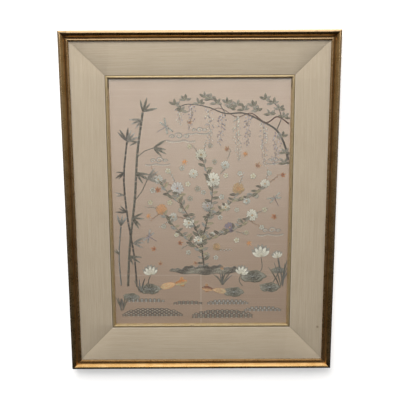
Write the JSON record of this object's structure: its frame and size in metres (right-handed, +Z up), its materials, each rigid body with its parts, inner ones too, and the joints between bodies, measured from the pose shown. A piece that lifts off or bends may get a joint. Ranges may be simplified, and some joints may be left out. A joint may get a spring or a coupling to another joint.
{
  "type": "framed silk embroidery panel",
  "caption": "Framed silk embroidery panel: stretched embroidered silk behind glass in a gilt slip, a wide sloping linen liner and a mitred gilt moulding, for hanging on a wall.",
  "frame": {"origin": "middle of the rear face of the top rail, on the plane that lies against the wall", "axes": "+Z up along the panel's height, +Y out of the back towards the wall, +X along the width to the right as seen from the front"},
  "size_m": [0.764, 0.049, 0.976],
  "materials": {
    "gilt_moulding": "antique gilt leaf over dark bole, satin, worn thin on the edges",
    "linen_liner": "slubbed natural linen glued over a sloping liner",
    "gilt_slip": "antique gilt leaf, satin",
    "pane": "clear polished picture glass",
    "silk": "fine ribbed silk, soft sheen, embroidered with silk floss",
    "board": "plain brown board, matt"
  },
  "bodies": {
    "root": {"backing_board": "board", "frame_bottom": "gilt_moulding", "frame_left": "gilt_moulding", "frame_right": "gilt_moulding", "frame_top": "gilt_moulding", "glass": "pane", "liner_bottom": "linen_liner", "liner_left": "linen_liner", "liner_right": "linen_liner", "liner_top": "linen_liner", "silk_panel": "silk", "slip_bottom": "gilt_slip", "slip_left": "gilt_slip", "slip_right": "gilt_slip", "slip_top": "gilt_slip"}
  },
  "joints": []
}
